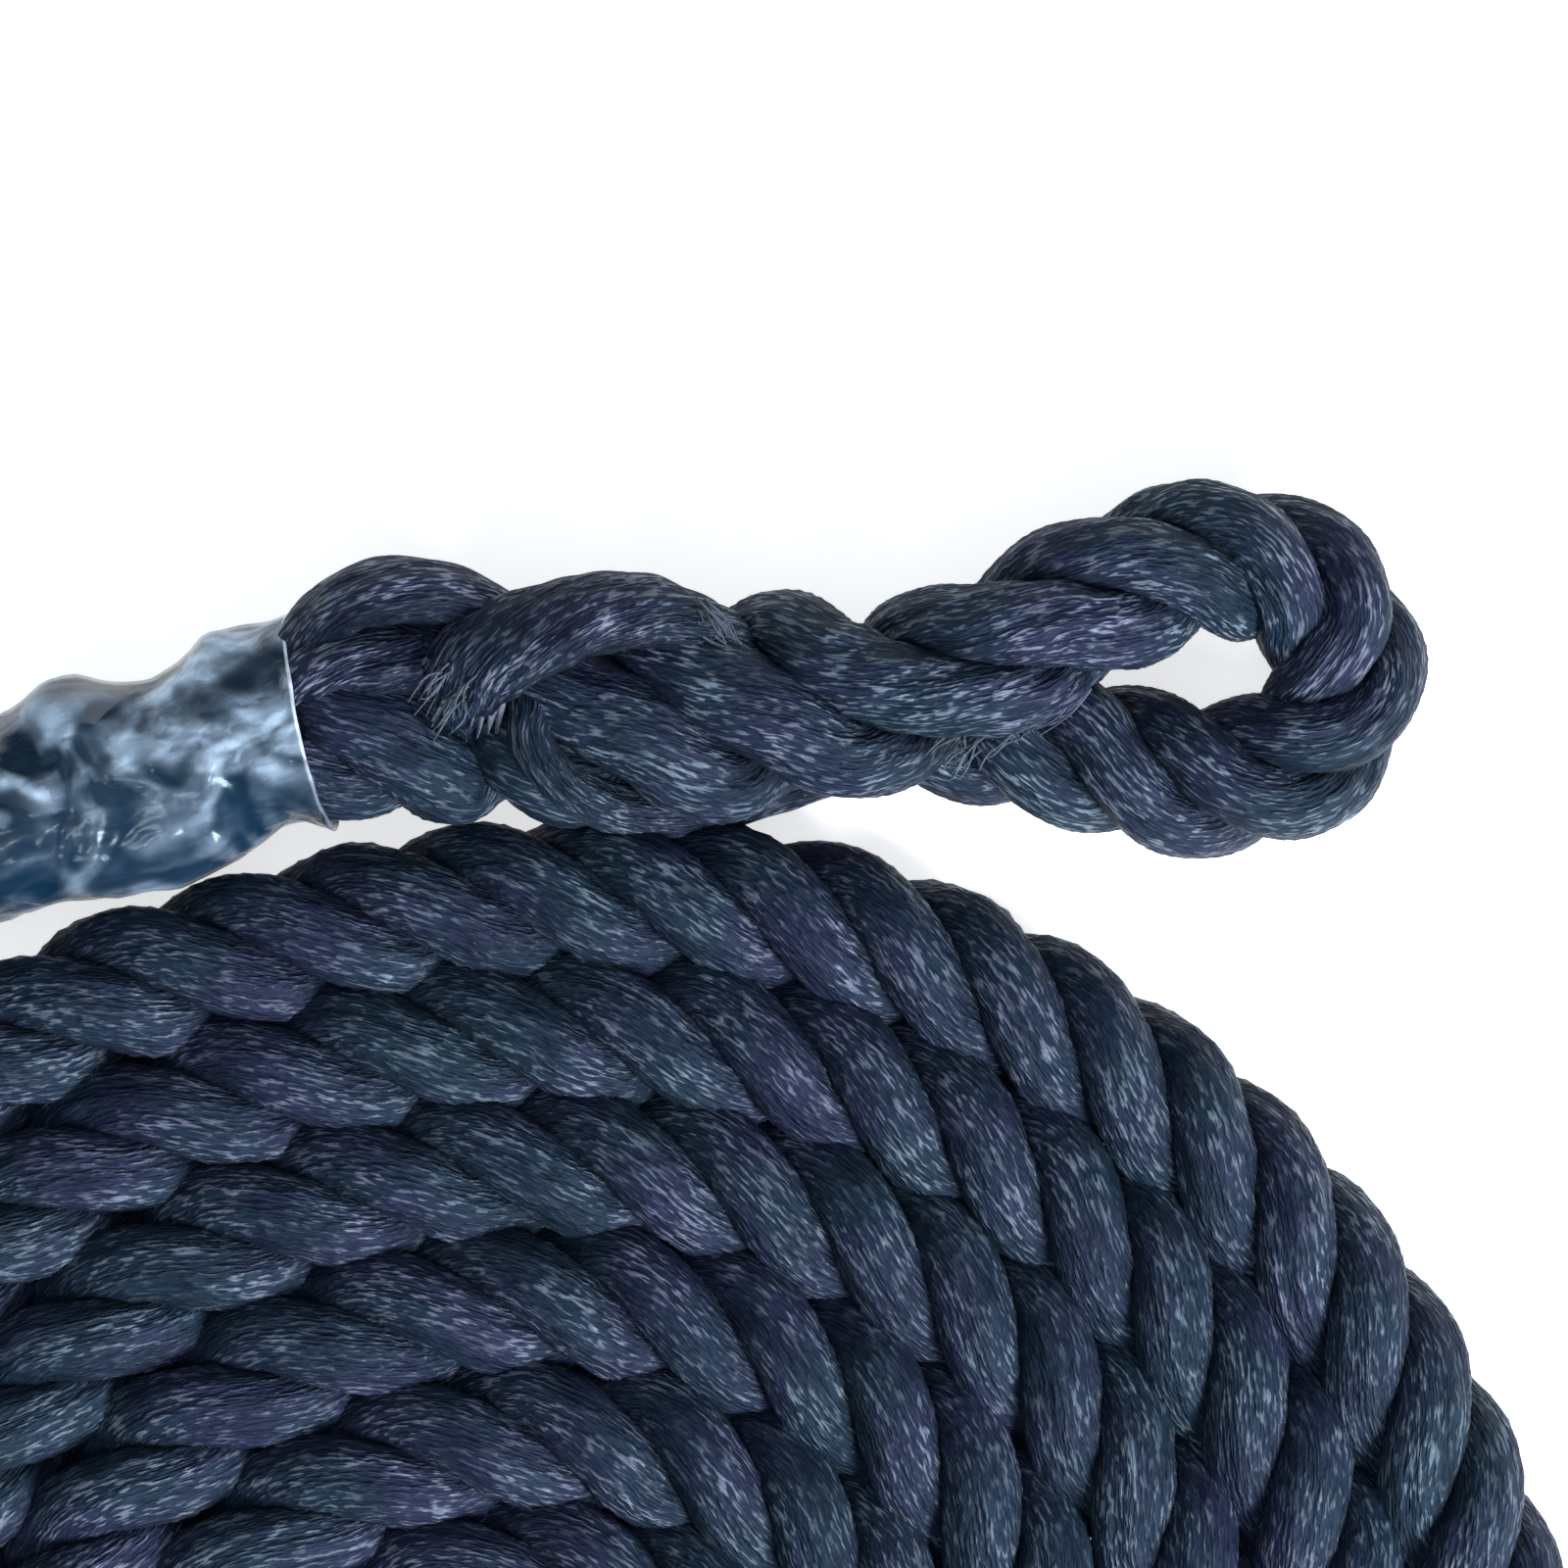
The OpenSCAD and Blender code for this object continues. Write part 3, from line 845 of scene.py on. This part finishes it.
@dataclass
class LooseFibres:
    """Fine ends of fibre that have worked loose at the throat and in the splice."""

    # Start, drift in x, y, z over its length, spread of the starts and count
    tufts: Sequence[tuple[tuple[float, float, float], tuple[float, float, float], float, int]] = (
        ((61.5, 109.6, 17.6), (-5.5, -4.8, -1.0), 1.5, 30),
        ((56.0, 105.6, 18.2), (-3.5, -2.6, -1.6), 1.6, 18),
        ((51.0, 103.6, 18.2), (-2.4, -3.0, -1.8), 1.8, 22),
        ((-1.5, 110.5, 22.5), (-3.2, -4.0, -2.0), 2.6, 26),
        ((23.6, 116.8, 20.4), (4.0, -4.4, -0.6), 1.6, 20),
    )
    # Half the thickness of a loose fibre at its root
    half: float = 0.00013
    seed: int = 8
    # The yarn ends that fringe the second tucked strand: how many and how thick, the
    # fringe's middle, half its breadth and how far the yarns reach, in millimetres
    fringe: int = 16
    fringe_half: float = 0.00042
    fringe_middle: tuple[float, float, float] = (-1.2, 110.2, 22.0)
    fringe_breadth: tuple[float, float, float] = (-3.9, 1.9, 0.0)
    fringe_reach: tuple[float, float, float] = (-1.9, -4.2, -1.4)

    @staticmethod
    def outward(line: np.ndarray) -> np.ndarray:
        """A direction for each point that no fibre runs along."""
        return np.tile(UP + [0.01, 0.02, 0], (len(line), 1))

    def build(self, finish: FibreFinish) -> bpy.types.Object:
        """Makes every loose fibre and joins them into one piece."""
        random = np.random.default_rng(self.seed)
        threads = [self.yarn_end(share, random) for share in np.linspace(0, 1, self.fringe)]
        for start, drift, spread, count in self.tufts:
            for _ in range(count):
                first = np.array(start) + random.normal(0, spread / 2, 3) * [1, 1, 0.35]
                reach = np.array(drift) * random.uniform(0.5, 1.1) + random.normal(0, 0.6, 3)
                bow = random.normal(0, 0.5, 3)
                t = np.linspace(0, 1, 5)[:, None]
                rows = (first + reach * t + bow * np.sin(math.pi * t)) * MM
                line = smooth_line(rows, step=0.0007)
                half = np.full(len(line), self.half) * np.linspace(1.0, 0.6, len(line))
                threads.append(Tube(line, self.outward(line), half, half, 5, fibre_turn=0.0,
                                    yarn_depth=0.0, lump=0.0).rolled())
        return piece_from("loose_fibres", threads, finish.make())

    def yarn_end(self, share: float, random: np.random.Generator) -> bmesh.types.BMesh:
        """One cut yarn at the end of the second tucked strand, a share of the way across."""
        across = np.array(self.fringe_breadth) * (share - 0.5) * 2
        first = np.array(self.fringe_middle) + across - [0, 0, 7.0 * (share - 0.5) ** 2]
        reach = np.array(self.fringe_reach) * random.uniform(0.7, 1.3) \
            + across * 0.3 + random.normal(0, 0.4, 3)
        t = np.linspace(0, 1, 6)[:, None]
        rows = (first + reach * t - [0, 0, 1.6] * t * t) * MM
        line = smooth_line(rows, step=0.0003)
        half = self.fringe_half * np.sqrt(np.linspace(1.0, 0.02, len(line)))
        return Tube(line, self.outward(line), half, half * 0.8, 8, fibre_turn=0.0, yarn_depth=0.0,
                    lump=0.15, seed=int(random.integers(1, 900))).rolled()


@dataclass
class Studio:
    """Pale floor, soft lights and the camera."""

    target: tuple[float, float, float] = (0.03185, 0.0990, 0.010)
    # The width seen at the target, and the camera's height over it
    across: float = 0.1651
    distance: float = 0.95
    # What every light faces
    aim: tuple[float, float, float] = (0.02, 0.06, 0.01)

    def floor(self) -> None:
        """A wide pale floor under the line."""
        sheet = bmesh.new()
        bmesh.ops.create_grid(sheet, x_segments=8, y_segments=8, size=3.0)
        mesh = bpy.data.meshes.new("floor")
        sheet.to_mesh(mesh)
        sheet.free()
        mesh.materials.append(FloorFinish().make())
        floor = bpy.data.objects.new("floor", mesh)
        floor.location.z = -0.0001
        bpy.context.scene.collection.objects.link(floor)

    def light(self, name: str, place: tuple[float, float, float], size: float, power: float,
              colour: tuple[float, float, float]) -> None:
        """A soft square light that faces the line."""
        data = bpy.data.lights.new(name, "AREA")
        data.shape, data.size, data.energy, data.color = "SQUARE", size, power, colour
        lamp = bpy.data.objects.new(name, data)
        lamp.location = place
        heading = Vector(self.aim) - Vector(place)
        lamp.rotation_euler = heading.to_track_quat("-Z", "Y").to_euler()
        bpy.context.scene.collection.objects.link(lamp)

    def lights(self) -> None:
        """A soft window to the lower right, a lamp and sky from above and an even surround."""
        self.light("window", (0.80, -0.58, 0.68), 0.45, 36.0, (0.97, 0.98, 1.0))
        self.light("lamp", (-0.20, -0.45, 1.0), 0.25, 2.5, (0.97, 0.98, 1.0))
        self.light("sky", (-0.3, 0.3, 1.3), 1.2, 4.0, (0.86, 0.93, 1.0))
        world = bpy.data.worlds.new("surround")
        world.use_nodes = True
        back = world.node_tree.nodes["Background"]
        back.inputs["Color"].default_value = (0.86, 0.93, 1.0, 1.0)
        back.inputs["Strength"].default_value = 0.3
        bpy.context.scene.world = world

    def camera(self) -> None:
        """A long lens that looks straight down on the splice and the coil's far side."""
        data = bpy.data.cameras.new("camera")
        data.sensor_width = 36.0
        data.lens = data.sensor_width * self.distance / self.across
        data.clip_start, data.clip_end = 0.05, 20.0
        camera = bpy.data.objects.new("camera", data)
        camera.location = Vector(self.target) + Vector((0, 0, self.distance))
        bpy.context.scene.collection.objects.link(camera)
        bpy.context.scene.camera = camera


def main() -> None:
    """Builds the studio and every piece of the line."""
    logging.basicConfig(level=logging.INFO, format="%(name)s: %(message)s")
    studio = Studio()
    studio.camera()
    studio.floor()
    studio.lights()
    bpy.context.scene.view_settings.view_transform = "Standard"

    route = Route()
    log.info("route %.3f m, %d rings", route.distance[-1], len(route.rows))
    # Past 0.205 m along the rope the painted glints are weaker
    strands = LaidRope(route).build(FibreFinish("laid_fibres", bright_until=0.205))
    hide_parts("coil", "outer_stretch", "standing_part", "eye_loop", "bitter_end")
    # The tucked strands get a few more painted glints than the laid rope
    tucks = Splice(route).build(FibreFinish("tucked_fibres", fibre_turn=40.0, extra_painted_glints=0.02))
    mouth = route.eye_length
    inside = (route.distance > mouth) & (route.distance < mouth + SLEEVE_LENGTH)
    sleeve = ShrinkSleeve.over(route.line[inside], SLEEVE_RADIUS, SLEEVE_LUMPS).build(
        "shrink_sleeve", FilmFinish("shrink_film"), "clear_sleeve")
    end = route.distance > route.distance[-1] - END_SLEEVE_LENGTH
    end_sleeve = ShrinkSleeve.over(route.line[end], END_SLEEVE_RADIUS, END_SLEEVE_LUMPS).build(
        "end_film", FilmFinish("end_film_finish", haze_and_highlight=0.15), "end_sleeve")
    tip = SealedTip(route).build(MeltedFinish("melted_nylon"))
    # Most of the loose fibres take the painted highlight colour, 2.2 times as bright as on the rope, with no
    # painted inner shade
    loose = LooseFibres().build(FibreFinish("loose_fibre_ends", fibre_turn=0.0, shade=0.0,
                                            extra_painted_glints=0.3, painted_highlight_gain=2.2))
    on_rope = [*strands[1:], *tucks, sleeve, end_sleeve, tip, loose]
    for piece in [strands[0], *on_rope]:
        log.info("%s: %d faces", piece.name, len(piece.data.polygons))


if __name__ == "__main__":
    main()
